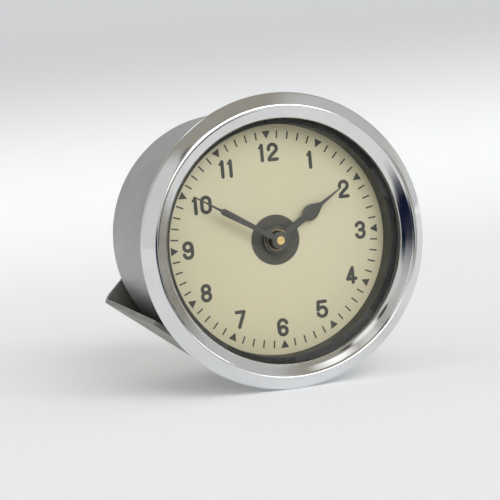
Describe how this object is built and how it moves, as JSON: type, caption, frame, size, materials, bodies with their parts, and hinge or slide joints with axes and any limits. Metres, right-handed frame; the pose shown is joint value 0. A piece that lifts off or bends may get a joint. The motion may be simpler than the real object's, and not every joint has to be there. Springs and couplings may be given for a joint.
{
  "type": "car dashboard clock",
  "caption": "Round panel-mounted car clock: chromed ridged bezel, ivory dial, spade hour hand, rear setting knob and a U-shaped clamp strip drawn up by knurled nuts.",
  "frame": {"origin": "on the case axis, in the plane of the bezel's flat that seats on the panel", "axes": "+X to three o'clock, +Y along the case axis into the dash, +Z to twelve o'clock; the dial faces -Y"},
  "size_m": [0.0604, 0.0604, 0.0604],
  "materials": {
    "chrome": "polished chrome plate",
    "glass": "clear flat glass",
    "rubber": "matt gasket",
    "case": "satin metal can",
    "black": "satin black",
    "ivory": "matt ivory enamel",
    "ink": "matt dark grey print",
    "hands": "satin dark grey paint",
    "brass": "brushed brass",
    "steel": "bright steel",
    "strip": "dull plated steel strip",
    "spring_steel": "blued spring steel",
    "copper": "enamelled copper wire",
    "insulator": "moulded brown insulation",
    "wire": "insulated lead"
  },
  "bodies": {
    "case": {"bezel": "chrome", "glass": "glass", "glass_gasket": "rubber", "case_rim": "case", "case_shell": "case", "shade_ring": "black", "dial_plate": "ivory", "dial_print": "ink", "dial_centre": "ink", "dial_posts": "brass", "dial_screws": "steel", "front_plate": "brass", "back_plate": "brass", "pillars": "brass", "movement_screws": "steel", "case_posts": "brass", "minute_post": "steel", "hair_stud": "brass", "balance_bridge": "brass", "bridge_posts": "brass", "magnet_core": "steel", "pole_arms": "steel", "coil_former": "insulator", "coil_winding": "copper", "magnet_posts": "brass", "magnet_screws": "steel", "contact_block": "insulator", "contact_blade": "brass", "contact_screw": "steel", "lead_wires": "wire", "terminal_stud": "brass", "terminal_collars": "insulator", "terminal_nuts": "brass", "arbor_bush": "brass", "mounting_studs": "steel", "case_nuts": "steel"},
    "minute": {"minute_hand": "hands", "centre_arbor": "brass", "cannon_pinion": "brass", "centre_wheel": "brass", "friction_washer": "steel", "set_knob": "chrome", "knob_screw": "steel"},
    "hour": {"hour_wheel": "brass", "hour_hand": "hands"},
    "minute_wheel": {"minute_wheel": "brass"},
    "third": {"third_arbor": "steel", "third_wheel": "brass"},
    "index": {"index_arbor": "steel", "index_wheel": "brass"},
    "balance": {"balance_wheel": "steel", "balance_staff": "steel", "roller": "brass", "hair_collet": "brass", "hairspring": "spring_steel"},
    "clamp": {"clamp_strip": "strip", "clamp_washers": "steel"},
    "nut_upper": {"nut_upper": "brass"},
    "nut_lower": {"nut_lower": "brass"}
  },
  "joints": [
    {"name": "minute_turn", "type": "hinge", "parent": "case", "child": "minute", "pos_m": [0, 0.005, 0], "axis": [0, 1, 0], "continuous": true},
    {"name": "hour_turn", "type": "hinge", "parent": "case", "child": "hour", "pos_m": [0, 0.005, 0], "axis": [0, 1, 0], "continuous": true},
    {"name": "minute_wheel_turn", "type": "hinge", "parent": "case", "child": "minute_wheel", "pos_m": [0.00617, 0.0075, -0.00735], "axis": [0, 1, 0], "continuous": true},
    {"name": "third_turn", "type": "hinge", "parent": "case", "child": "third", "pos_m": [-0.00813, 0.014, -0.00386], "axis": [0, 1, 0], "continuous": true},
    {"name": "index_turn", "type": "hinge", "parent": "case", "child": "index", "pos_m": [-0.01395, 0.014, 0.00163], "axis": [0, 1, 0], "continuous": true},
    {"name": "balance_swing", "type": "hinge", "parent": "case", "child": "balance", "pos_m": [-0.01009, 0.027, 0.00788], "axis": [0, 1, 0], "range_deg": [-135, 135], "stiffness_Nm_per_rad": 0.00003},
    {"name": "nut_upper_turn", "type": "hinge", "parent": "clamp", "child": "nut_upper", "pos_m": [0.00862, 0.045, 0.01103], "axis": [0, 1, 0], "range_deg": [0, 2701]},
    {"name": "clamp_slide", "type": "slide", "parent": "case", "child": "clamp", "axis": [0, 1, 0], "range_m": [0, 0.006]},
    {"name": "nut_lower_turn", "type": "hinge", "parent": "clamp", "child": "nut_lower", "pos_m": [-0.00862, 0.045, -0.01103], "axis": [0, 1, 0], "range_deg": [0, 2701]}
  ],
  "couplings": [
    {"joint": "hour_turn", "follows": "minute_turn", "ratio": 0.083333},
    {"joint": "minute_wheel_turn", "follows": "minute_turn", "ratio": -0.33333},
    {"joint": "third_turn", "follows": "minute_turn", "ratio": -8},
    {"joint": "index_turn", "follows": "minute_turn", "ratio": 56},
    {"joint": "nut_upper_turn", "follows": "clamp_slide", "rad_per_m": 7854},
    {"joint": "nut_lower_turn", "follows": "clamp_slide", "rad_per_m": 7854}
  ]
}
